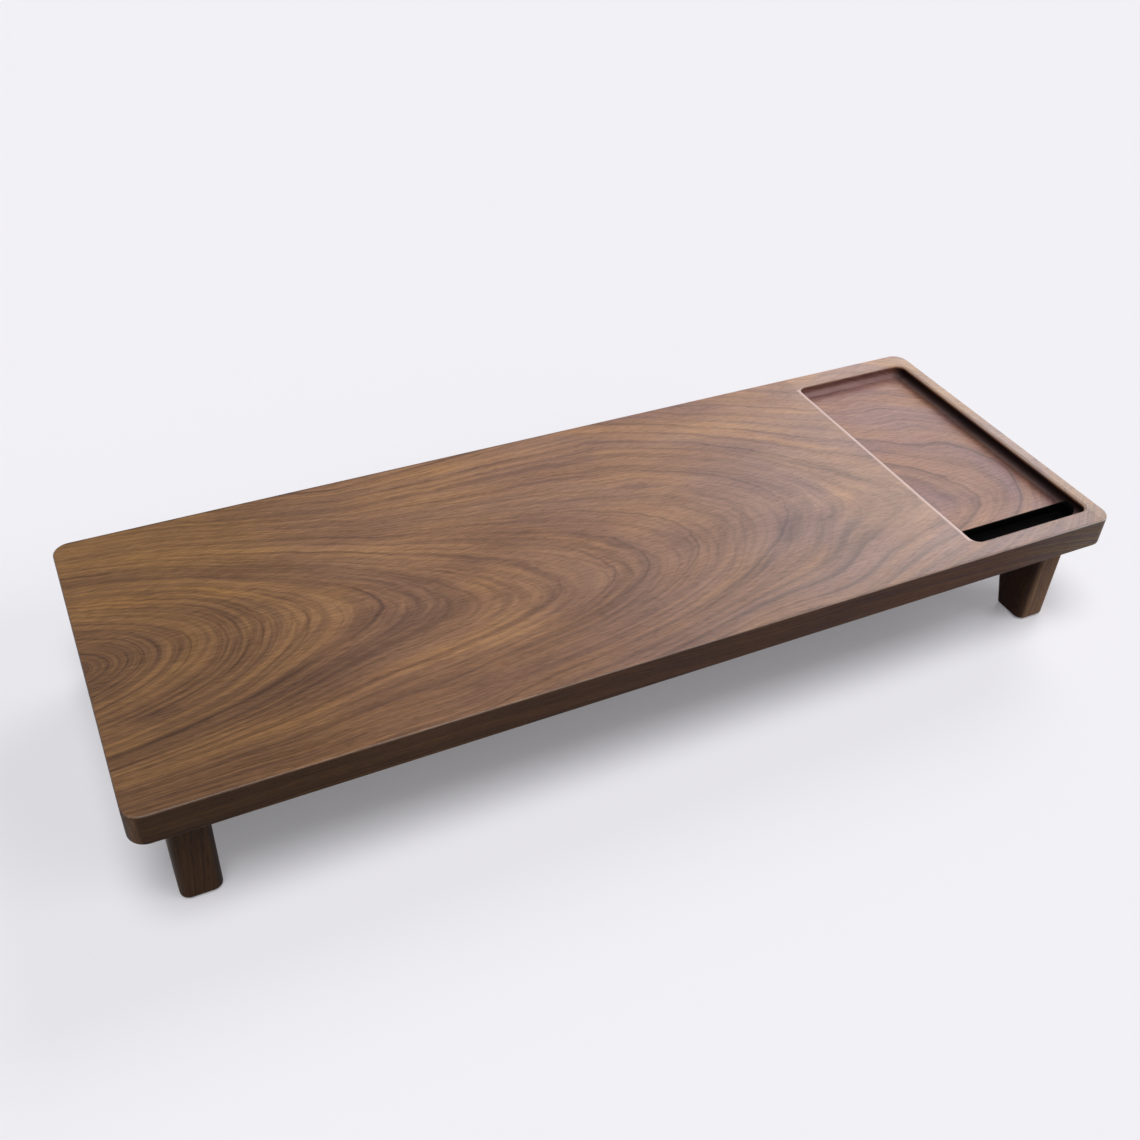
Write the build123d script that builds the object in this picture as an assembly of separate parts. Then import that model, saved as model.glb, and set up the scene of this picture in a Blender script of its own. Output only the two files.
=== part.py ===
from build123d import *
import os

# A walnut monitor riser: a board on four tapered legs, with a tray and a phone groove milled into its
# right end. Sizes are in millimetres. The origin is on the floor under the middle of the board,
# +X points to the tray's end, -Y to the front and +Z up.

# The board
board_length = 550.0
board_width = 200.0
board_thickness = 18.0
board_corner_radius = 9.0
board_top_rounding = 1.0
board_bottom_rounding = 1.0

# The tray, which is as long as the board is wide, less a rim at the front and the back
tray_width = 82.6
tray_end_rim = 7.8
tray_side_rim = 12.1
tray_depth = 8.0
tray_cove_radius = 5.0
tray_corner_extra_radius = 0.5
tray_mouth_rounding = 1.6

# The groove across the front of the tray's floor
groove_width = 12.8
groove_corner_radius = 4.2
groove_bottom_thickness = 4.0
groove_front_gap = 6.2
groove_end_gap = 0.4

# The channel that lines the groove
liner_wall = 1.0
liner_clearance = 0.1

# The legs, upright on three sides and sloping on the side towards the middle of the board
leg_height = 57.0
leg_width = 20.0
leg_foot_depth = 20.0
leg_top_depth = 37.6
leg_end_inset = 15.4
leg_face_inset = 10.6
leg_outer_radius = 5.0
leg_inner_radius = 2.5
leg_foot_rounding = 1.0

# The pads let into the feet
pad_diameter = 14.0
pad_thickness = 2.0
pad_recess_depth = 1.0
pad_edge_rounding = 0.4
pad_clearance = 0.2

# The dowels, two side by side in each leg
dowel_diameter = 6.0
dowel_depth_in_leg = 16.5
dowel_spacing = 9.0
dowel_hole_cover = 2.0
dowel_end_chamfer = 0.8
dowel_flutes = 8
dowel_flute_radius = 0.35
dowel_clearance = 0.05
dowel_end_gap = 0.5

# Heights that follow from these
foot_z = pad_thickness - pad_recess_depth
board_bottom_z = foot_z + leg_height
board_top_z = board_bottom_z + board_thickness
tray_floor_z = board_top_z - tray_depth
groove_floor_z = board_bottom_z + groove_bottom_thickness
dowel_hole_top_z = tray_floor_z - dowel_hole_cover
dowel_hole_foot_z = board_bottom_z - dowel_depth_in_leg - dowel_end_gap

# Places that follow from these
tray_right_x = board_length / 2 - tray_end_rim
tray_centre_x = tray_right_x - tray_width / 2
tray_length = board_width - 2 * tray_side_rim
groove_centre_y = -tray_length / 2 + groove_front_gap + groove_width / 2
groove_length = tray_width - 2 * groove_end_gap
leg_centre_x = board_length / 2 - leg_end_inset - leg_width / 2
leg_face_y = board_width / 2 - leg_face_inset
pad_centre_y = leg_face_y - leg_foot_depth / 2

# The dowels stand midway between the groove and the sloping back of the leg at the foot of their holes
leg_slope = (leg_top_depth - leg_foot_depth) / leg_height
leg_depth_at_holes = leg_foot_depth + leg_slope * (dowel_hole_foot_z - foot_z)
groove_back_y = tray_length / 2 - groove_front_gap - groove_width
dowel_row_y = (groove_back_y + leg_face_y - leg_depth_at_holes) / 2

# The four quarters of the board, as the signs of X and Y
quarters = {
    "front_left": (-1, -1),
    "front_right": (1, -1),
    "rear_left": (-1, 1),
    "rear_right": (1, 1),
}


def edges_at(shape, z):
    """The edges that lie in one level plane."""
    return shape.edges().filter_by_position(Axis.Z, z, z)


def upright(outline, x, y, bottom_z, top_z):
    """A prism that stands on an outline, between two heights."""
    return Pos(x, y, bottom_z) * extrude(outline, top_z - bottom_z)


def tray_space(top_z):
    """The space in the tray, with its cove, up to a given height."""
    corner_radius = tray_cove_radius + tray_corner_extra_radius
    outline = RectangleRounded(tray_width, tray_length, corner_radius)
    space = upright(outline, tray_centre_x, 0, tray_floor_z, top_z)
    return fillet(edges_at(space, tray_floor_z), tray_cove_radius)


def groove_space(inset, bottom_z, top_z):
    """The space in the groove, drawn in on every side, between two heights."""
    length = groove_length - 2 * inset
    width = groove_width - 2 * inset
    outline = RectangleRounded(length, width, groove_corner_radius - inset)
    return upright(outline, tray_centre_x, groove_centre_y, bottom_z, top_z)


def both_dowels(make):
    """The same round shape at both dowels of the leg in the +X, +Y quarter."""
    sides = (-dowel_spacing / 2, dowel_spacing / 2)
    return [Pos(leg_centre_x + side, dowel_row_y, 0) * make() for side in sides]


def round_bar(diameter, bottom_z, top_z):
    """A round bar on the Z axis, between two heights."""
    return upright(Circle(diameter / 2), 0, 0, bottom_z, top_z)


def in_quarter(shape, end, side):
    """A shape from the +X, +Y quarter, mirrored into the quarter that two signs name."""
    if end < 0:
        shape = mirror(shape, about=Plane.YZ)
    if side < 0:
        shape = mirror(shape, about=Plane.XZ)
    return shape


def dowel_hole():
    """The hole for one dowel, through the joint between leg and board."""
    return round_bar(dowel_diameter + 2 * dowel_clearance, dowel_hole_foot_z, dowel_hole_top_z)


def dowel():
    """One dowel, chamfered at both ends and fluted along its length."""
    low = dowel_hole_foot_z + dowel_end_gap
    high = dowel_hole_top_z - dowel_end_gap
    bar = round_bar(dowel_diameter, low, high)
    bar = chamfer(edges_at(bar, low) + edges_at(bar, high), dowel_end_chamfer)
    flute = round_bar(2 * dowel_flute_radius, low, high)
    for place in PolarLocations(dowel_diameter / 2, dowel_flutes):
        bar -= place * flute
    return bar


def leg():
    """The leg in the +X, +Y quarter."""
    foot_back_y = leg_face_y - leg_foot_depth
    top_back_y = leg_face_y - leg_top_depth
    side_view = Plane.YZ * Polygon(
        (leg_face_y, foot_z),
        (leg_face_y, board_bottom_z),
        (top_back_y, board_bottom_z),
        (foot_back_y, foot_z),
        align=None,
    )
    block = Pos(leg_centre_x - leg_width / 2, 0, 0) * extrude(side_view, leg_width)
    middle_z = (foot_z + board_bottom_z) / 2
    corners = block.edges().filter_by_position(Axis.Z, middle_z - 1, middle_z + 1)
    by_depth = corners.sort_by(Axis.Y)
    block = fillet(by_depth[-2:], leg_outer_radius)
    corners = block.edges().filter_by_position(Axis.Z, middle_z - 1, middle_z + 1)
    block = fillet(corners.sort_by(Axis.Y)[:2], leg_inner_radius)
    block = fillet(edges_at(block, foot_z), leg_foot_rounding)
    for hole in both_dowels(dowel_hole):
        block -= hole
    return block - pad_recess()


def pad_recess():
    """The shallow round recess in the foot of the leg in the +X, +Y quarter."""
    recess = round_bar(pad_diameter + 2 * pad_clearance, 0, pad_thickness)
    return Pos(leg_centre_x, pad_centre_y, 0) * recess


def pad():
    """The pad under the leg in the +X, +Y quarter."""
    disc = round_bar(pad_diameter, 0, pad_thickness)
    disc = fillet(edges_at(disc, 0), pad_edge_rounding)
    return Pos(leg_centre_x, pad_centre_y, 0) * disc


def top_board():
    """The board, with its tray, its groove and the holes for the dowels."""
    outline = RectangleRounded(board_length, board_width, board_corner_radius)
    board = upright(outline, 0, 0, board_bottom_z, board_top_z)
    board = fillet(edges_at(board, board_top_z), board_top_rounding)
    board = fillet(edges_at(board, board_bottom_z), board_bottom_rounding)
    board -= tray_space(board_top_z)
    top_face = board.faces().sort_by(Axis.Z)[-1]
    tray_mouth = top_face.inner_wires()[0]
    board = fillet(tray_mouth.edges(), tray_mouth_rounding)
    board -= groove_space(0, groove_floor_z, board_top_z)
    for end, side in quarters.values():
        for hole in both_dowels(dowel_hole):
            board -= in_quarter(hole, end, side)
    return board


def slot_liner():
    """The channel that lines the groove, flush with the tray's floor and cove."""
    outside = groove_space(liner_clearance, groove_floor_z, board_top_z)
    inside = groove_space(liner_clearance + liner_wall, groove_floor_z + liner_wall, board_top_z)
    return outside - inside - tray_space(board_top_z)


os.makedirs("parts", exist_ok=True)
export_step(top_board(), "parts/top_board.step")
export_step(slot_liner(), "parts/slot_liner.step")
leg_shape = leg()
pad_shape = pad()
dowel_pair = both_dowels(dowel)
for name, (end, side) in quarters.items():
    export_step(in_quarter(leg_shape, end, side), f"parts/{name}_leg.step")
    export_step(in_quarter(pad_shape, end, side), f"parts/{name}_pad.step")
    pair = [in_quarter(one, end, side) for one in dowel_pair]
    export_step(Compound(children=pair), f"parts/{name}_dowels.step")
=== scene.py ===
import math

import bpy
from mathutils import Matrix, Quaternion, Vector


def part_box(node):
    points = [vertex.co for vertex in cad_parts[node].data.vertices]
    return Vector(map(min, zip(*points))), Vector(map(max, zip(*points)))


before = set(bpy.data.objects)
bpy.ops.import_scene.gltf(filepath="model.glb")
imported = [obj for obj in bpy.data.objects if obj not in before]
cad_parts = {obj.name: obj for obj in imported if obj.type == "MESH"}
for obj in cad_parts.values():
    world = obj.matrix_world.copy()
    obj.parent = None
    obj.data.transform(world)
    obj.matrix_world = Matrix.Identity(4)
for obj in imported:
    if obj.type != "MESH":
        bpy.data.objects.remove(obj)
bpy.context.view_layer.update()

# A walnut monitor riser on a pale studio floor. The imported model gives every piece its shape. This script
# gives the pieces their wood, rubber and silicone, and sets up the floor, the lamps and the camera.
# Lengths in the wood settings are millimetres, and everything else is metres.

millimetres = 1000.0


class Wire:
    # A node's output. Sums written on it add Math nodes to the material.
    def __init__(self, sheet, socket):
        self.sheet = sheet
        self.socket = socket

    def __add__(self, other):
        return self.sheet.sumOf("ADD", self, other)

    def __radd__(self, other):
        return self.sheet.sumOf("ADD", other, self)

    def __sub__(self, other):
        return self.sheet.sumOf("SUBTRACT", self, other)

    def __rsub__(self, other):
        return self.sheet.sumOf("SUBTRACT", other, self)

    def __mul__(self, other):
        return self.sheet.sumOf("MULTIPLY", self, other)

    def __rmul__(self, other):
        return self.sheet.sumOf("MULTIPLY", other, self)

    def __truediv__(self, other):
        return self.sheet.sumOf("DIVIDE", self, other)

    def __pow__(self, other):
        return self.sheet.sumOf("POWER", self, other)

    def __neg__(self):
        return self.sheet.sumOf("MULTIPLY", self, -1.0)

    def __abs__(self):
        return self.sheet.sumOf("ABSOLUTE", self)


class Sheet:
    # The nodes of one new material, or of the world
    def __init__(self, tree):
        self.tree = tree
        self.tree.nodes.clear()

    def node(self, kind, settings=None, inputs=None, output=0):
        made = self.tree.nodes.new(kind)
        for name, value in (settings or {}).items():
            if name == "stops":
                self.setStops(made.color_ramp, value)
            elif name == "curve":
                self.setCurve(made.mapping, value)
            else:
                setattr(made, name, value)
        for name, value in (inputs or {}).items():
            if isinstance(value, Wire):
                self.tree.links.new(value.socket, made.inputs[name])
            else:
                made.inputs[name].default_value = value
        return Wire(self, made.outputs[output]) if made.outputs else made

    def setStops(self, ramp, stops):
        ramp.elements.remove(ramp.elements[1])
        for index, (place, colour) in enumerate(stops):
            stop = ramp.elements[0] if index == 0 else ramp.elements.new(place)
            stop.position = place
            stop.color = (*colour, 1.0)

    def setCurve(self, mapping, points):
        curve = mapping.curves[0]
        curve.points[0].location = points[0]
        curve.points[1].location = points[-1]
        for point in points[1:-1]:
            curve.points.new(*point)
        for point in curve.points:
            point.handle_type = "AUTO_CLAMPED"
        mapping.update()

    def sumOf(self, operation, *values):
        return self.node("ShaderNodeMath", {"operation": operation}, dict(enumerate(values)))

    def largest(self, first, second):
        return self.sumOf("MAXIMUM", first, second)

    def exponential(self, value):
        return self.sumOf("EXPONENT", value)

    def ease(self, value, start, end, low=0.0, high=1.0):
        # Goes smoothly from low to high as the value goes from start to end
        places = {"Value": value, "From Min": start, "From Max": end, "To Min": low, "To Max": high}
        return self.node("ShaderNodeMapRange", {"interpolation_type": "SMOOTHSTEP"}, places)

    def curve(self, value, points):
        # Reads a curve, given as (place, height) pairs, at a place
        width = points[-1][0]
        height = max(point[1] for point in points)
        drawn = [(place / width, level / height) for place, level in points]
        return self.node("ShaderNodeFloatCurve", {"curve": drawn}, {"Value": value / width}) * height

    def vector(self, x, y, z):
        return self.node("ShaderNodeCombineXYZ", None, {"X": x, "Y": y, "Z": z})

    def split(self, vector):
        parts = self.node("ShaderNodeSeparateXYZ", None, {"Vector": vector}).socket.node.outputs
        return [Wire(self, part) for part in parts]

    def noise(self, where, detail=2.0, roughness=0.5):
        inputs = {"Vector": where, "Scale": 1.0, "Detail": detail, "Roughness": roughness}
        return self.node("ShaderNodeTexNoise", {"noise_dimensions": "3D"}, inputs)

    def blend(self, factor, first, second, how="MIX"):
        first, second = [(*c, 1.0) if isinstance(c, tuple) else c for c in (first, second)]
        settings = {"data_type": "RGBA", "blend_type": how, "clamp_factor": True}
        return self.node("ShaderNodeMix", settings, {0: factor, 6: first, 7: second}, 2)

    def tint(self, factor, colour, tone):
        # Multiplies a colour by a tone, as far as the factor says
        return self.blend(factor, colour, self.blend(1.0, colour, tone, "MULTIPLY"))

    def grey(self, value):
        return self.node("ShaderNodeCombineColor", None, {"Red": value, "Green": value, "Blue": value})


def newMaterial(name):
    material = bpy.data.materials.new(name)
    material.use_nodes = True
    return material, Sheet(material.node_tree)


def finishMaterial(sheet, constants, baseColor, roughness, height, bump):
    # Joins the colour, roughness and relief to a Principled shader
    relief = {"Strength": bump["strength"], "Distance": bump["distance"], "Height": height}
    inputs = {**constants, "Base Color": baseColor, "Roughness": roughness}
    inputs["Normal"] = sheet.node("ShaderNodeBump", None, relief)
    shader = sheet.node("ShaderNodeBsdfPrincipled", None, inputs)
    sheet.node("ShaderNodeOutputMaterial", None, {"Surface": shader})


def dress(material, *nodes):
    for name in nodes:
        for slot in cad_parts[name].material_slots:
            slot.material = material


def weigh(patterns, weights):
    # A base value with each named pattern added at its weight
    total = weights["base"]
    for name, weight in weights.items():
        if name != "base":
            total = total + patterns[name] * weight
    return total


def fading(rightward, weight):
    # A weight that falls by the second number towards the right end
    return weight[0] - rightward * weight[1]


# The wood

boardLow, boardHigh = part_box("top_board")

boardLog = {
    "origin": (-boardLow.x * millimetres, -boardLow.y * millimetres, -boardHigh.z * millimetres),
    # Where the heart of the log runs under the board: (mm from the left end, mm from the front edge)
    "heartLine": [
        (0, 101), (60, 101), (110, 98), (150, 89), (185, 77), (240, 70), (300, 75), (340, 86),
        (375, 87), (400, 79), (430, 67), (460, 61), (492, 58), (525, 72), (550, 78),
    ],
    # The rings along the front edge follow a smoother line than the bends further back
    "frontLine": [
        (0, 101), (110, 98), (150, 89), (200, 78), (260, 72), (330, 75),
        (375, 70), (420, 66), (460, 64), (495, 63), (550, 72),
    ],
    "frontReach": (0.0, 80.0),
    "bendShear": 0.3,  # the bends reach the back edge sooner than the front one
    "bendPivot": 90.0,
    "heartDepth": [(0, 18), (50, 24), (110, 30), (400, 32), (470, 28), (550, 20)],
    # Millimetres of growth for each millimetre across, behind the heart line and in front of it
    "spreadBack": [
        (0, 0.75), (100, 0.64), (150, 0.545), (200, 0.45),
        (300, 0.375), (350, 0.375), (410, 0.315), (550, 0.31),
    ],
    "spreadFront": [
        (0, 0.74), (50, 0.65), (100, 0.545), (150, 0.53), (200, 0.585),
        (240, 0.60), (300, 0.57), (400, 0.46), (550, 0.48),
    ],
    "spreadTurn": 22.0,
    "taper": [(0, 0), (50, 7), (100, 14.5), (320, 38), (400, 47.5), (460, 56), (500, 64), (550, 78)],
    "depthShare": 0.6,
    "leastSlope": 0.12,
    "wave": 2.4,
    "tremble": 1.5,
    # How far the point lies from the left tones towards the right ones; the right tones are partly painted
    # light
    "rightward": [(0, 0.0), (60, 0.03), (140, 0.32), (250, 0.52), (400, 0.82), (550, 1.0)],
    # How pale the wood is between the heart and the bark, in broad bands
    "bands": [
        (0, 0.30), (16, 0.30), (22, 0.34), (28, 0.46), (34, 0.56), (38, 0.48), (44, 0.50),
        (48, 0.58), (51, 0.42), (54, 0.53), (60, 0.62), (65, 0.54), (69, 0.50), (74, 0.55),
        (80, 0.48), (86, 0.55), (92, 0.50), (100, 0.44), (130, 0.42),
    ],
    "backward": {"middle": 100.0, "perMillimetre": 0.0015},  # a little paler towards the back edge
    # How strongly rounded edges are painted paler: partly wear, partly painted highlight
    "wearAndHighlight": 0.60,
    # A small knot's eye at the left end: place, reach along and across, and how far it pulls the rings
    "eye": {"along": -4.0, "across": 99.0, "reachAlong": 24.0, "reachAcross": 13.0, "pull": 9.0},
    # The lines are fainter behind the heart at the left end
    "faint": {"across": (112.0, 130.0), "along": (240.0, 130.0), "rings": (53.5, 51.5), "share": 0.45},
    # Each dark growth ring: how far out it is, how dark, and the width of its dark side in mm
    "rings": [
        (10.5, 0.70, 1.8), (15.4, 0.80, 2.2), (19.5, 0.40, 1.6), (23.8, 0.85, 2.6), (27.0, 0.40, 2.0),
        (30.0, 0.45, 2.0), (33.0, 0.55, 2.2), (35.3, 0.40, 1.8), (37.8, 0.60, 2.2), (41.0, 0.45, 2.0),
        (44.0, 0.40, 1.8), (46.5, 0.40, 2.0), (50.2, 1.00, 4.5), (52.6, 0.30, 1.6), (55.0, 0.90, 2.2),
        (58.4, 0.25, 1.6), (60.6, 0.75, 2.2), (63.8, 0.75, 2.0), (66.0, 0.85, 2.2), (69.7, 0.75, 2.4),
        (71.6, 0.45, 1.6), (73.8, 0.65, 2.2), (77.0, 0.80, 2.4), (79.0, 0.45, 1.8), (81.0, 0.60, 4.0),
        (84.6, 0.95, 3.6), (87.4, 0.70, 1.8), (90.4, 1.00, 3.6), (92.8, 0.50, 1.8), (95.2, 0.60, 2.0),
        (98.5, 0.80, 2.8), (101.0, 0.50, 1.8), (103.6, 0.60, 2.0), (107.0, 0.60, 2.4),
    ],
    # Smudges of mineral stain and paler flames: along, across, reach along and across, slant, strength
    "stains": [
        (199, 102, 7, 3.4, -0.5, 0.85),
        (366, 58, 9, 8, 0.9, 0.75),
        (345, 42, 14, 4, 0.7, 0.45),
        (428, 98, 10, 6, -1.2, 0.60),
        (24, 57, 12, 3.5, 0.0, 0.70),
        (213, 59, 8, 3, 0.6, 0.45),
        (300, 25, 22, 4, 0.35, 0.40),
        (312, 129, 12, 2.5, -0.2, 0.45),
        (482, 62, 13, 9, -0.5, 0.70),
        (470, 130, 10, 6, -1.0, 0.45),
        (513, 54, 16, 20, 0.0, 0.35),
    ],
    "flames": [
        (30, 139, 22, 5, -0.3, 0.9),
        (72, 129, 16, 5, -0.6, 0.7),
        (132, 107, 12, 6, -0.2, 0.8),
        (150, 44, 50, 5, 0.15, 0.7),
        (90, 33, 45, 4, 0.1, 0.5),
        (196, 84, 12, 8, 0.4, 0.5),
        (375, 37, 22, 8, 0.4, 0.6),
        (400, 150, 40, 7, -0.6, 0.6),
        (230, 187, 80, 5, -0.1, 0.6),
        (414, 76, 18, 14, 0.4, 0.8),
        (448, 118, 10, 16, 0.2, 0.4),
        (150, 14, 110, 22, 0.1, 0.70),
        (405, 180, 70, 14, -0.2, 0.45),
        (268, 98, 34, 18, 0.0, 0.55),
    ],
    "ragged": 5.0,  # how far the tremble moves the smudges' outlines
}

# Where the board's outer faces start and where its painted light and shade lie, in mm from its left end, from
# its front edge and up from its top. A pair gives where the mark starts and where it is full. Pairs that end
# in
# Turn or Facing go by the way the surface faces, and the far edge's second pair by how far right the point
# lies.
boardMarks = {
    "middleAlong": 275.0,
    "middleAcross": 100.0,
    # The outer faces, which get painted shade, start this far from the middle, where the surface has turned
    # from level
    "faceAlong": 273.5,
    "faceAcross": 98.5,
    "faceDepth": (0.0, 1.0),
    "faceTurn": (0.95, 0.3),
    "faceBend": 1.5,  # bends the rings until they run nearly level there
    # The tray, inside its rim, with painted shade on its far wall and back wall
    "trayDepth": (-1.2, -2.4),
    "trayLeft": (458.0, 459.0),
    "trayRight": (543.5, 542.9),
    "traySides": (90.0, 89.0),
    "farWallShade": (533.5, 542.5),
    "backWallShade": (179.0, 186.0),
    # A painted highlight on the near lip of the tray's mouth
    "mouthLeft": (456.3, 457.5),
    "mouthRight": (462.4, 461.2),
    "mouthEnds": (87.0, 84.0),
    "mouthDepth": (-3.0, -1.5),
    "mouthStrength": 0.6,
    "mouthHighlightMottle": 0.5,
    # A painted sheen on the rim at the tray's right and at its back
    "rimRight": (541.0, 543.0),
    "rimBackAlong": (456.0, 460.0),
    "rimBackAcross": (187.0, 189.0),
    "rimDepth": (-1.0, -0.2),
    # A painted shadow line along the back edge of the top, towards the left end
    "farEdgeShade": (198.0, 199.0),
    "farEdgeShadeRightward": (0.75, 0.3),
    # A painted highlight on the front and back faces, towards the right end
    "cornerHighlight": (462.0, 552.0),
    "cornerFacing": (0.1, 0.6),
}

walnutTones = {
    # The board is yellower and deeper at its left end, paler and pinker at its right: partly its own tone,
    # partly painted light that grows towards the right
    "left": [(0.12, (0.105, 0.054, 0.033)), (0.48, (0.190, 0.098, 0.046)), (0.85, (0.285, 0.150, 0.056))],
    "right": [(0.12, (0.180, 0.092, 0.072)), (0.50, (0.298, 0.155, 0.108)), (0.88, (0.410, 0.224, 0.140))],
    # The wood is multiplied by these
    "mauve": (0.92, 0.93, 1.06),
    "golden": (1.12, 1.08, 0.90),
    "ring": (0.42, 0.40, 0.44),
    "stain": (0.60, 0.57, 0.70),
    "flame": (1.20, 1.16, 0.98),
    "pore": (0.45, 0.43, 0.42),
    "endGrain": (0.50, 0.46, 0.42),
    # Painted shade on the outer faces, a painted highlight near the right-hand corners, a painted sheen on
    # the rim and a painted shadow line along the back edge
    "outside": (0.45, 0.44, 0.44),
    "cornerHighlight": (2.05, 2.95, 3.30),
    "rim": (1.18, 1.24, 1.26),
    "farRimSheen": (1.04, 1.14, 1.15),
    "farEdgeShade": (0.50, 0.45, 0.42),
    "tray": (0.97, 0.95, 1.08),
    # Painted shade on the tray's far wall and back wall, and on the legs' faces towards the middle
    "farWallShade": (0.03, 0.02, 0.025),
    "backWallShade": (0.58, 0.52, 0.54),
    "inwardShade": (0.28, 0.23, 0.24),
    # These are laid over it: a painted highlight on the tray's lip, and paler rounded edges that are partly
    # wear and partly painted highlight
    "mouthHighlight": (0.62, 0.44, 0.40),
    "wearAndHighlight": (0.64, 0.48, 0.40),
}

walnutGrain = {
    # Noise drawn out along the log: mm along, mm across and down, detail, roughness
    "wave": (70.0, 26.0, 2.0, 0.5),
    "tremble": (13.0, 7.0, 2.0, 0.5),
    "patches": (85.0, 30.0, 2.0, 0.5),
    "fibre": (16.0, 1.2, 3.0, 0.6),
    "fine": (6.0, 0.42, 2.0, 0.6),
    # Noise that follows the rings: mm along, steps per mm of growth, layer, detail
    "fade": (45.0, 0.90, 0.0, 2.0),
    "between": (240.0, 0.95, 3.0, 1.0),
    "flow": (75.0, 0.16, 11.0, 2.0),
    "hairs": {"along": 90.0, "rings": 2.1, "across": 0.1, "layer": 7.0, "detail": 1.0},
    "bands": {"along": 320.0, "rings": 0.55, "depth": 0.004, "detail": 4.0, "roughness": 0.62},
    "pores": {"along": 8.0, "across": 0.50, "edge": (0.14, 0.32, 1.0, 0.0), "strength": 0.5},
    "ringShift": 0.6,  # mm that the wave and the tremble move the rings
    # Weights, and how much they fall towards the right end
    "bandWeight": (1.05, 0.15),
    "patchWeight": 0.7,
    "lineWeight": (1.0, 0.20),
    "betweenWeight": (1.0, 0.55),
    "fibreWeight": (1.15, 0.30),
    "fineWeight": (1.00, 0.28),
    "streakLevel": 1.06,
    "lineStrength": 0.92,
    "lineFade": (0.30, 0.60, 0.25, 1.0),
    "lineSharpness": 1.4,
    "lineEnd": 0.5,
    "betweenLevel": (0.50, 0.64, 0.0, 0.38),
    "hairLevel": (0.48, 0.60, 0.0, 0.44),
    "flowLevel": (0.38, 0.62),
}

walnutFinish = {
    # Rounded edges are painted a little paler, unevenly: partly wear, partly painted highlight where they
    # catch the light
    "rubSize": 16.0,
    "rubDetail": 3.0,
    "rubLevel": (0.2, 0.7, 0.4, 1.0),
    "uprightEdges": 0.6,
    "edgeGain": 4.0,
    "edgeLevel": (0.25, 0.95),
    "wearRightward": {"base": 0.2, "rightward": 0.8},
    # Cut ends drink more oil
    "endFacing": (0.6, 0.95),
    "endStrength": 0.35,
    # Painted shade on the sides of the legs that face the middle of the board
    "inwardPerMillimetre": 0.004,
    "inwardLevel": (0.2, 0.7),
    # The sheen: on what faces up, less in the tray and at the left end, and hardly elsewhere
    "sheenFacing": (0.2, 0.6),
    "sheenDepth": (-3.0, -0.8, 0.6, 1.0),
    "sheenRightward": (0.0, 0.45, 0.5, 1.0),
    "coveFacing": (0.995, 0.95),  # none on the tray's cove and walls
    "edgeSheen": (0.05, 0.45, 0.0, 0.65),  # some on the top's edges that face right
    "edgeDepth": (-2.5, -1.0),
    "leastSheen": 0.05,
    "mottle": {"base": 1.0, "patches": 0.4, "pores": -0.5, "fine": 0.3},
    "roughness": {"base": 0.55, "fine": 0.12, "pores": 0.12, "dark": -0.04, "patches": 0.08},
    "relief": {"base": 0.0, "fine": 0.35, "fibre": 0.30, "pores": -0.6, "dark": -0.15},
    "bump": {"strength": 0.22, "distance": 0.0003},
    "shader": {"Specular IOR Level": 0.08, "IOR": 1.5, "Coat Roughness": 0.36, "Coat IOR": 1.5},
}


def logRings(sheet, along, across, depth, log):
    # How far out in the log each point lies, and how steeply that changes per millimetre
    heart = sheet.curve(along + (across - log["bendPivot"]) * log["bendShear"], log["heartLine"])
    if "frontLine" in log:
        front = sheet.curve(along, log["frontLine"])
        heart = front + (heart - front) * sheet.ease(across, *log["frontReach"])
    off = across - heart
    backSide = sheet.ease(off, -log["spreadTurn"], log["spreadTurn"])
    spreadBack = sheet.curve(along, log["spreadBack"])
    spreadFront = sheet.curve(along, log["spreadFront"])
    spread = spreadFront + (spreadBack - spreadFront) * backSide
    reach = off * spread
    deep = sheet.curve(along, log["heartDepth"]) + depth * log["depthShare"]
    radius = (reach * reach + deep * deep) ** 0.5
    rings = radius + sheet.curve(along, log["taper"])
    slope = ((reach * spread / radius) ** 2.0 + log["leastSlope"] ** 2) ** 0.5
    if "eye" in log:
        eye = log["eye"]
        eyeAlong = (along - eye["along"]) / eye["reachAlong"]
        eyeAcross = (across - eye["across"]) / eye["reachAcross"]
        rings = rings - sheet.exponential(-(eyeAlong * eyeAlong + eyeAcross * eyeAcross)) * eye["pull"]
    return rings, slope


def drawnOut(sheet, point, size):
    # Noise drawn out along the log
    along, across, depth = point
    length, width, detail, roughness = size
    return sheet.noise(sheet.vector(along / length, across / width, depth / width), detail, roughness)


def ringed(sheet, along, rings, size):
    # Noise that follows the rings
    length, pace, layer, detail = size
    return sheet.noise(sheet.vector(along / length, rings * pace, layer), detail)


def spots(sheet, along, across, places):
    # Soft slanting patches, 1 in the middle of the strongest
    total = None
    for x, y, reachAlong, reachAcross, slant, strength in places:
        off = along - x
        beside = (across - y - off * slant) / reachAcross
        off = off / reachAlong
        spot = sheet.exponential(-(off * off + beside * beside)) * strength
        total = spot if total is None else sheet.largest(total, spot)
    return total


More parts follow.
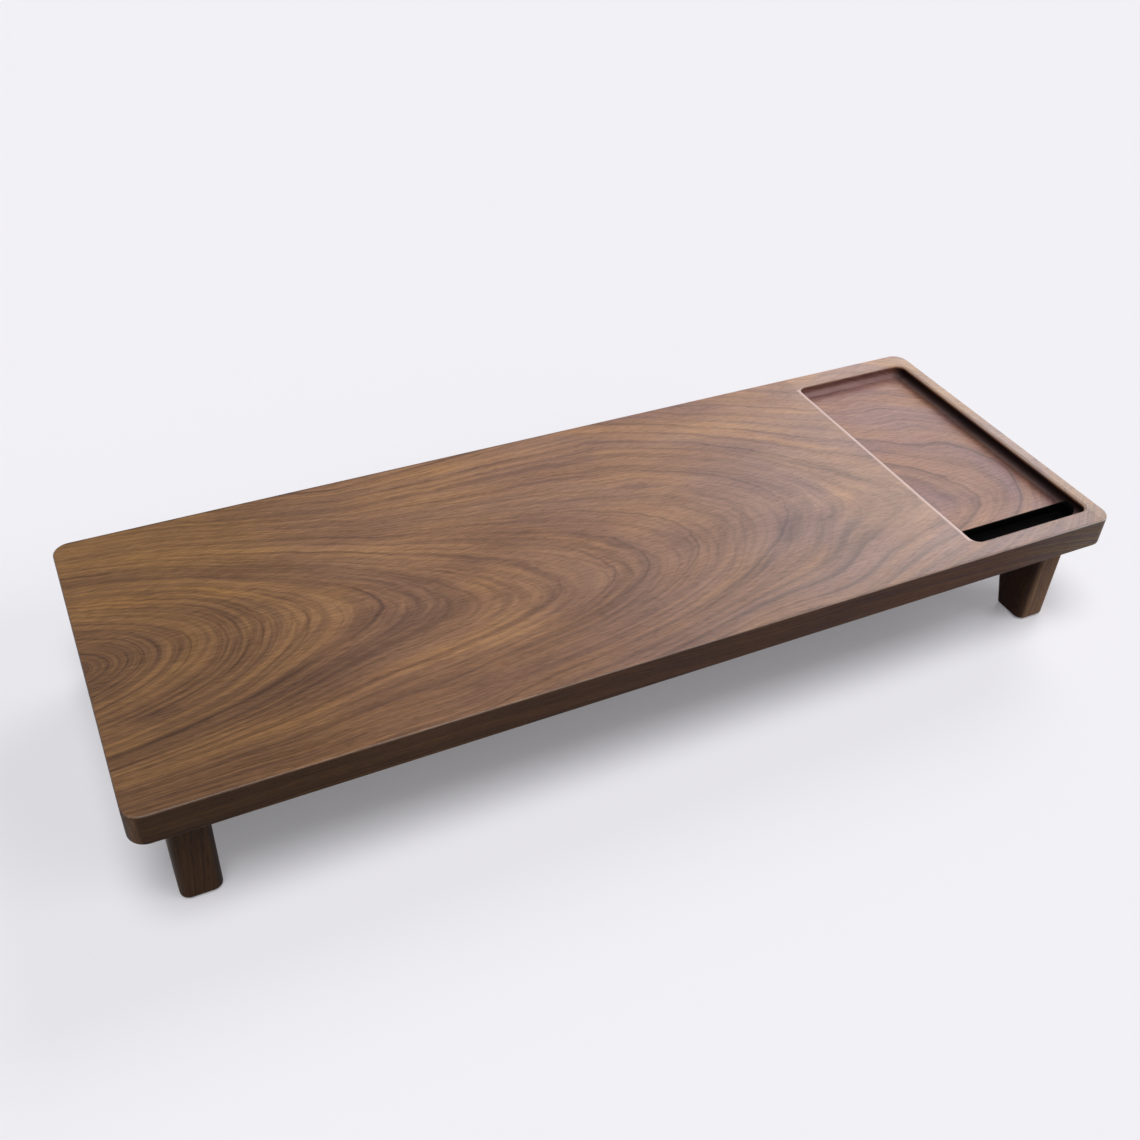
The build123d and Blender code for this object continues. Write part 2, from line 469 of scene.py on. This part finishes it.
def darkLines(sheet, log, along, across, rings, slope, rightward):
    # Each dark line deepens slowly on its heart side and ends sharply on the other
    grain = walnutGrain
    dark = None
    for place, strength, width in log["rings"]:
        gap = (rings - place) / slope
        rise = sheet.ease(gap, -width, 0.0) ** grain["lineSharpness"]
        line = rise * sheet.ease(gap, 0.0, grain["lineEnd"] * width, strength, 0.0)
        dark = line if dark is None else sheet.largest(dark, line)
    dark = dark * sheet.ease(ringed(sheet, along, rings, grain["fade"]), *grain["lineFade"])
    if "faint" in log:
        faint = log["faint"]
        hidden = sheet.ease(across, *faint["across"]) * sheet.ease(along, *faint["along"])
        hidden = hidden * sheet.ease(rings, *faint["rings"])
        dark = dark * (1.0 - hidden * faint["share"])
    # Fainter ones lie between them
    hair = grain["hairs"]
    slanted = rings * hair["rings"] + across * hair["across"]
    where = sheet.vector(along / hair["along"], slanted, hair["layer"])
    hairs = sheet.ease(sheet.noise(where, hair["detail"]), *grain["hairLevel"])
    between = sheet.ease(ringed(sheet, along, rings, grain["between"]), *grain["betweenLevel"]) + hairs
    lines = dark * fading(rightward, grain["lineWeight"])
    return sheet.largest(lines, between * fading(rightward, grain["betweenWeight"]))


def boardPaintedLight(sheet, wood, point, outer, inTray, ny, rightward):
    # Painted light and shade at places on the board. The outer faces get painted shade.
    along, across, depth = point
    marks = boardMarks
    wood = sheet.tint(outer, wood, walnutTones["outside"])
    # Painted sheen on the rim round the tray, and painted shade against the tray's far wall
    rimTop = sheet.ease(depth, *marks["rimDepth"])
    rimRight = sheet.ease(along, *marks["rimRight"])
    rimBack = sheet.ease(along, *marks["rimBackAlong"]) * sheet.ease(across, *marks["rimBackAcross"])
    wood = sheet.tint(sheet.largest(rimRight, rimBack) * rimTop, wood, walnutTones["rim"])
    wood = sheet.tint(rimRight * rimTop, wood, walnutTones["farRimSheen"])
    # A painted shadow line along the back edge of the top
    farEdgeShade = sheet.ease(across, *marks["farEdgeShade"]) * sheet.ease(rightward, *marks["farEdgeShadeRightward"])
    wood = sheet.tint(farEdgeShade, wood, walnutTones["farEdgeShade"])
    wood = sheet.tint(inTray, wood, walnutTones["tray"])
    wood = sheet.tint(inTray * sheet.ease(along, *marks["farWallShade"]), wood, walnutTones["farWallShade"])
    # Painted shade on the tray's back wall
    wood = sheet.tint(inTray * sheet.ease(across, *marks["backWallShade"]), wood, walnutTones["backWallShade"])
    # A painted highlight on the front and back faces near the right end
    cornerHighlight = outer * sheet.ease(along, *marks["cornerHighlight"]) * sheet.ease(ny * ny, *marks["cornerFacing"])
    return sheet.tint(cornerHighlight, wood, walnutTones["cornerHighlight"])


def walnut(name, log, turned=False):
    # Solid wood: every face shows the same log, cut where that face lies
    material, sheet = newMaterial(name)
    grain, finish, marks = walnutGrain, walnutFinish, boardMarks
    objectPoint = sheet.node("ShaderNodeTexCoord", output="Object")
    placing = {"Vector": objectPoint, "Location": log["origin"], "Scale": (millimetres,) * 3}
    x, y, z = sheet.split(sheet.node("ShaderNodeMapping", None, placing))
    nx, ny, nz = sheet.split(sheet.node("ShaderNodeTexCoord", output="Normal"))
    point = (z, x, y) if turned else (x, y, z)
    along, across, depth = point
    upward = nz * nz

    # The grain wanders: long slow waves, and a tremble where the rings turn
    wave = drawnOut(sheet, point, grain["wave"]) - 0.5
    tremble = drawnOut(sheet, point, grain["tremble"]) - 0.5
    wandering = across + wave * log["wave"] + tremble * log["tremble"]
    rings, slope = logRings(sheet, along, wandering, depth, log)
    rings = rings + (tremble + wave) * grain["ringShift"]
    rightward = sheet.curve(along, log["rightward"])
    fromMiddle = abs(across - marks["middleAcross"])
    if not turned:
        beyond = abs(along - marks["middleAlong"]) - marks["faceAlong"]
        outer = sheet.largest(fromMiddle - marks["faceAcross"], beyond)
        outer = sheet.ease(outer, *marks["faceDepth"]) * sheet.ease(upward, *marks["faceTurn"])
        rings = rings + outer * depth * marks["faceBend"]

    # Tone in bands that follow the rings, and in broad patches
    band = grain["bands"]
    where = sheet.vector(along / band["along"], rings * band["rings"], depth * band["depth"])
    bands = sheet.noise(where, band["detail"], band["roughness"]) - 0.5
    patches = drawnOut(sheet, point, grain["patches"]) - 0.5
    tone = bands * fading(rightward, grain["bandWeight"]) + patches * grain["patchWeight"]
    tone = tone + sheet.curve(rings, log["bands"])
    if "backward" in log:
        tone = tone + (across - log["backward"]["middle"]) * log["backward"]["perMillimetre"]
    deep = sheet.node("ShaderNodeValToRGB", {"stops": walnutTones["left"]}, {"Fac": tone})
    pale = sheet.node("ShaderNodeValToRGB", {"stops": walnutTones["right"]}, {"Fac": tone})
    # From the deep left tones to the pale right ones: partly the board's own tone, partly painted light from
    # the right
    wood = sheet.blend(rightward, deep, pale)

    dark = darkLines(sheet, log, along, across, rings, slope, rightward)
    wood = sheet.tint(dark * grain["lineStrength"], wood, walnutTones["ring"])
    # Towards the right end golden flows lie between mauve ones
    flow = sheet.ease(ringed(sheet, along, rings, grain["flow"]), *grain["flowLevel"])
    wood = sheet.tint(rightward, wood, sheet.blend(flow, walnutTones["mauve"], walnutTones["golden"]))
    if "stains" in log:
        ragged = across + tremble * log["ragged"]
        wood = sheet.tint(spots(sheet, along, ragged, log["stains"]), wood, walnutTones["stain"])
        wood = sheet.tint(spots(sheet, along, ragged, log["flames"]), wood, walnutTones["flame"])

    # Fibres and pores run with the log
    fibre = drawnOut(sheet, point, grain["fibre"]) - 0.5
    fine = drawnOut(sheet, point, grain["fine"]) - 0.5
    streaks = fibre * fading(rightward, grain["fibreWeight"]) + fine * fading(rightward, grain["fineWeight"])
    wood = sheet.blend(1.0, wood, sheet.grey(streaks + grain["streakLevel"]), "MULTIPLY")
    pore = grain["pores"]
    where = sheet.vector(along / pore["along"], across / pore["across"], depth / pore["across"])
    cells = sheet.node("ShaderNodeTexVoronoi", {"feature": "F1"}, {"Vector": where, "Scale": 1.0})
    pores = sheet.ease(cells, *pore["edge"])
    wood = sheet.tint(pores * pore["strength"], wood, walnutTones["pore"])

    # Rounded edges painted paler: partly wear, partly painted highlight
    rounded = sheet.largest(upward * (1.0 - upward), nx * nx * (ny * ny) * finish["uprightEdges"])
    size = finish["rubSize"]
    rub = sheet.noise(sheet.vector(x / size, y / size, z / size), finish["rubDetail"])
    wornAndHighlit = sheet.ease(rounded * finish["edgeGain"], *finish["edgeLevel"])
    wornAndHighlit = wornAndHighlit * sheet.ease(rub, *finish["rubLevel"])
    wornAndHighlit = wornAndHighlit * weigh({"rightward": rightward}, finish["wearRightward"]) * log["wearAndHighlight"]
    if not turned:
        # A painted highlight on the near edge of the tray's mouth
        mouthHighlight = sheet.ease(along, *marks["mouthLeft"]) * sheet.ease(along, *marks["mouthRight"])
        mouthHighlight = mouthHighlight * sheet.ease(fromMiddle, *marks["mouthEnds"]) * sheet.ease(depth, *marks["mouthDepth"])
        mouthHighlight = mouthHighlight * (marks["mouthStrength"] + rub * marks["mouthHighlightMottle"])
        wood = sheet.blend(mouthHighlight, wood, walnutTones["mouthHighlight"])
    wood = sheet.blend(wornAndHighlit, wood, walnutTones["wearAndHighlight"])
    if not turned:
        inTray = sheet.ease(depth, *marks["trayDepth"]) * sheet.ease(fromMiddle, *marks["traySides"])
        inTray = inTray * sheet.ease(along, *marks["trayLeft"]) * sheet.ease(along, *marks["trayRight"])
        wood = boardPaintedLight(sheet, wood, point, outer, inTray, ny, rightward)
    endward = sheet.ease(abs(nz if turned else nx), *finish["endFacing"])
    wood = sheet.tint(endward * finish["endStrength"], wood, walnutTones["endGrain"])
    if turned:
        # Legs: painted light, lighter on the right legs than on the left, and painted shade on the faces
        # towards the middle of the board, the darkest of all
        towards = nx * (log["origin"][0] - x) * finish["inwardPerMillimetre"]
        wood = sheet.blend(1.0, wood, log["shade"], "MULTIPLY")
        wood = sheet.tint(sheet.ease(towards, *finish["inwardLevel"]), wood, walnutTones["inwardShade"])

    sheen = sheet.ease(nz, *finish["sheenFacing"]) * sheet.ease(depth, *finish["sheenDepth"])
    sheen = sheen * sheet.ease(rightward, *finish["sheenRightward"])
    if not turned:
        sheen = sheen * (1.0 - inTray * sheet.ease(nz, *finish["coveFacing"]))
        sheen = sheen + sheet.ease(nx, *finish["edgeSheen"]) * sheet.ease(depth, *finish["edgeDepth"])
    patterns = {"patches": patches, "pores": pores, "fine": fine, "fibre": fibre, "dark": dark}
    sheen = (sheen + finish["leastSheen"]) * weigh(patterns, finish["mottle"])
    roughness = weigh(patterns, finish["roughness"])
    constants = {**finish["shader"], "Coat Weight": sheen}
    finishMaterial(sheet, constants, wood, roughness, weigh(patterns, finish["relief"]), finish["bump"])
    return material


dress(walnut("boardWalnut", boardLog), "top_board")
print("board: walnut")

# The legs are sawn from straight stock, far from the heart
legLog = {
    "origin": (300.0, 140.0, 0.0),
    "heartLine": [(0, 110), (100, 112)],
    "bendShear": 0.0,
    "bendPivot": 0.0,
    "heartDepth": [(0, 60), (100, 62)],
    "spreadBack": [(0, 0.9), (100, 0.9)],
    "spreadFront": [(0, 0.9), (100, 0.9)],
    "spreadTurn": 22.0,
    "taper": [(0, 0), (100, 2)],
    "depthShare": 0.5,
    "leastSlope": 0.4,
    "wave": 4.0,
    "tremble": 1.0,
    "rightward": [(0, 0.2), (100, 0.2)],
    "bands": [(0, 0.5), (300, 0.5)],
    # Dark lines 2.5 to 5 mm of growth apart, a faint and a strong one in turn
    "rings": [(60.0 + step * 4.3 + (step % 3) * 0.9, 0.45 + 0.2 * (step % 2), 1.5) for step in range(40)],
    "wearAndHighlight": 0.25,
}
# Painted light: the right legs are painted lighter and greyer than the left ones
legPaintedLight = {"left": (0.33, 0.30, 0.23), "right": (1.42, 1.55, 1.68)}  # the left legs are much the darker
for end, shade in legPaintedLight.items():
    legWood = walnut(end + "LegWalnut", {**legLog, "shade": shade}, turned=True)
    dress(legWood, f"front_{end}_leg", f"rear_{end}_leg")
print("legs: walnut")

legPlaces = ("front_left", "front_right", "rear_left", "rear_right")

beechWood = {
    # How often the grain and the flecks repeat per metre, across and up the dowel
    "fibres": (1400.0, 1400.0, 60.0),
    "flecks": (2600.0, 2600.0, 420.0),
    "grainDetail": (4.0, 0.6),
    "fleckDetail": (1.0, 0.5),
    "fleckLevel": (0.60, 0.72),
    "fleckStrength": 0.4,
    "tones": [(0.25, (0.50, 0.31, 0.17)), (0.75, (0.68, 0.48, 0.30))],
    "fleckTone": (0.36, 0.20, 0.10),
    "roughness": {"base": 0.55, "grain": 0.15},
    "relief": {"base": 0.0, "grain": 0.5, "fleck": -0.3},
    "bump": {"strength": 0.3, "distance": 0.0001},
}


def beech():
    # Pale hard wood with small flecks, for the dowels
    material, sheet = newMaterial("dowelBeech")
    point = sheet.node("ShaderNodeTexCoord", output="Object")
    fibres = sheet.node("ShaderNodeMapping", None, {"Vector": point, "Scale": beechWood["fibres"]})
    flecks = sheet.node("ShaderNodeMapping", None, {"Vector": point, "Scale": beechWood["flecks"]})
    grain = sheet.noise(fibres, *beechWood["grainDetail"])
    fleck = sheet.ease(sheet.noise(flecks, *beechWood["fleckDetail"]), *beechWood["fleckLevel"])
    wood = sheet.node("ShaderNodeValToRGB", {"stops": beechWood["tones"]}, {"Fac": grain})
    wood = sheet.blend(fleck * beechWood["fleckStrength"], wood, beechWood["fleckTone"])
    patterns = {"grain": grain, "fleck": fleck}
    roughness = weigh(patterns, beechWood["roughness"])
    finishMaterial(sheet, {}, wood, roughness, weigh(patterns, beechWood["relief"]), beechWood["bump"])
    return material


dress(beech(), *[place + "_dowels" for place in legPlaces])
print("dowels: beech")

# Moulded rubber and silicone: a fine matt skin with a little dust
padRubber = {
    "tone": (0.016, 0.016, 0.017),
    "dust": (0.045, 0.043, 0.040),
    "roughness": {"base": 0.72, "clouds": 0.15, "grain": 0.1},
    "bump": {"strength": 0.3, "distance": 0.0001},
    "gloss": 0.35,
}
linerSilicone = {
    "tone": (0.0008, 0.0007, 0.0007),
    "dust": (0.002, 0.002, 0.002),
    "roughness": {"base": 0.8, "clouds": 0.15, "grain": 0.1},
    "bump": {"strength": 0.15, "distance": 0.00005},
    "gloss": 0.04,
}
rubberSkin = {
    # How often the skin and the clouds of dust repeat per metre
    "skin": 2500.0,
    "clouds": 90.0,
    "skinDetail": (3.0, 0.6),
    "cloudDetail": (3.0, 0.5),
    "cloudLevel": (0.45, 0.75),
    "cloudDust": 0.5,
    "skinDust": 0.2,
}


def rubber(name, kind):
    material, sheet = newMaterial(name)
    point = sheet.node("ShaderNodeTexCoord", output="Object")
    skin = sheet.node("ShaderNodeMapping", None, {"Vector": point, "Scale": (rubberSkin["skin"],) * 3})
    cloud = sheet.node("ShaderNodeMapping", None, {"Vector": point, "Scale": (rubberSkin["clouds"],) * 3})
    grain = sheet.noise(skin, *rubberSkin["skinDetail"])
    clouds = sheet.noise(cloud, *rubberSkin["cloudDetail"])
    dusty = sheet.ease(clouds, *rubberSkin["cloudLevel"]) * rubberSkin["cloudDust"]
    colour = sheet.blend(dusty + grain * rubberSkin["skinDust"], kind["tone"], kind["dust"])
    roughness = weigh({"clouds": clouds - 0.5, "grain": grain - 0.5}, kind["roughness"])
    finishMaterial(sheet, {"Specular IOR Level": kind["gloss"]}, colour, roughness, grain, kind["bump"])
    return material


dress(rubber("padRubber", padRubber), *[place + "_pad" for place in legPlaces])
dress(rubber("linerSilicone", linerSilicone), "slot_liner")
print("pads and liner: rubber and silicone")

# The studio
studio = {
    "floorSize": 16.0,
    "paper": (0.88, 0.87, 0.91),
    "paperBounce": (0.11, 0.11, 0.115),
    "paperGlow": 0.20,  # how much of the paper the camera sees as evenly bright, which softens the shadow
    "fill": 0.035,
    "ceiling": (0.08, 0.08, 0.085),
    "ceilingStart": (0.2, 0.5),
    "lampDistance": 2.0,
    "lamps": {
        # Compass bearing from +Y towards +X, height above the floor, width of the soft source, strength
        "keyLamp": {"bearing": 55.0, "height": 35.0, "width": 30.0, "strength": 0.8},
        "overheadLamp": {"bearing": 215.0, "height": 76.0, "width": 36.0, "strength": 2.3},
        "sideLamp": {"bearing": 130.0, "height": 30.0, "width": 40.0, "strength": 0.75},
    },
}


def seenDirectly(sheet):
    # 1 for rays that the camera, a gloss or glass sees, and 0 for the light that surfaces pass on
    paths = sheet.node("ShaderNodeLightPath").socket.node.outputs
    camera = Wire(sheet, paths["Is Camera Ray"])
    glossy = Wire(sheet, paths["Is Glossy Ray"])
    clear = Wire(sheet, paths["Is Transmission Ray"])
    return sheet.largest(camera, sheet.largest(glossy, clear))


def layFloor():
    bpy.ops.mesh.primitive_plane_add(size=studio["floorSize"])
    floor = bpy.context.object
    floor.name = "studioFloor"
    material, sheet = newMaterial("studioPaper")
    seen = seenDirectly(sheet)
    colour = sheet.blend(seen, studio["paperBounce"], studio["paper"])
    paper = sheet.node("ShaderNodeBsdfDiffuse", None, {"Color": colour})
    glow = sheet.node("ShaderNodeEmission", None, {"Color": (*studio["paper"], 1.0)})
    surface = sheet.node("ShaderNodeMixShader", None, {0: seen * studio["paperGlow"], 1: paper, 2: glow})
    sheet.node("ShaderNodeOutputMaterial", None, {"Surface": surface})
    floor.data.materials.append(material)


def hangLamps():
    for name, lamp in studio["lamps"].items():
        bearing, height = math.radians(lamp["bearing"]), math.radians(lamp["height"])
        light = bpy.data.lights.new(name, "SUN")
        light.energy = lamp["strength"]
        light.angle = math.radians(lamp["width"])
        sun = bpy.data.objects.new(name, light)
        bpy.context.scene.collection.objects.link(sun)
        level = math.cos(height)
        away = Vector((math.sin(bearing) * level, math.cos(bearing) * level, math.sin(height)))
        sun.rotation_mode = "QUATERNION"
        sun.rotation_quaternion = away.to_track_quat("Z", "Y")
        sun.location = away * studio["lampDistance"]


def paintWorld():
    world = bpy.data.worlds.new("studioAir")
    bpy.context.scene.world = world
    world.use_nodes = True
    sheet = Sheet(world.node_tree)
    # Pale round about, like the floor, and dimmer overhead
    up = sheet.split(sheet.node("ShaderNodeTexCoord", output="Generated"))[2]
    room = sheet.blend(sheet.ease(up, *studio["ceilingStart"]), studio["paper"], studio["ceiling"])
    colour = sheet.blend(seenDirectly(sheet), (studio["fill"],) * 3, room)
    air = sheet.node("ShaderNodeBackground", None, {"Color": colour, "Strength": 1.0})
    sheet.node("ShaderNodeOutputWorld", None, {"Surface": air})


layFloor()
hangLamps()
paintWorld()
print("studio: floor, lamps and world")

# The camera stands in front of the left end, turned a little about its own axis
cameraPlace = {
    "location": Vector((-0.26941, -0.47264, 0.49094)),
    "aim": Vector((-0.03275, -0.02269, 0.07600)),
    "roll": 3.178,
    "lens": 39.526,
    "sensorWidth": 36.0,
    "nearest": 0.01,
}


def placeCamera():
    lens = bpy.data.cameras.new("photoCamera")
    lens.lens = cameraPlace["lens"]
    lens.sensor_width = cameraPlace["sensorWidth"]
    lens.clip_start = cameraPlace["nearest"]
    camera = bpy.data.objects.new("photoCamera", lens)
    bpy.context.scene.collection.objects.link(camera)
    camera.location = cameraPlace["location"]
    sight = (cameraPlace["aim"] - cameraPlace["location"]).to_track_quat("-Z", "Y")
    camera.rotation_mode = "QUATERNION"
    camera.rotation_quaternion = sight @ Quaternion((0.0, 0.0, 1.0), math.radians(cameraPlace["roll"]))
    bpy.context.scene.camera = camera


placeCamera()
bpy.context.scene.view_settings.view_transform = "Standard"
print("camera: placed")
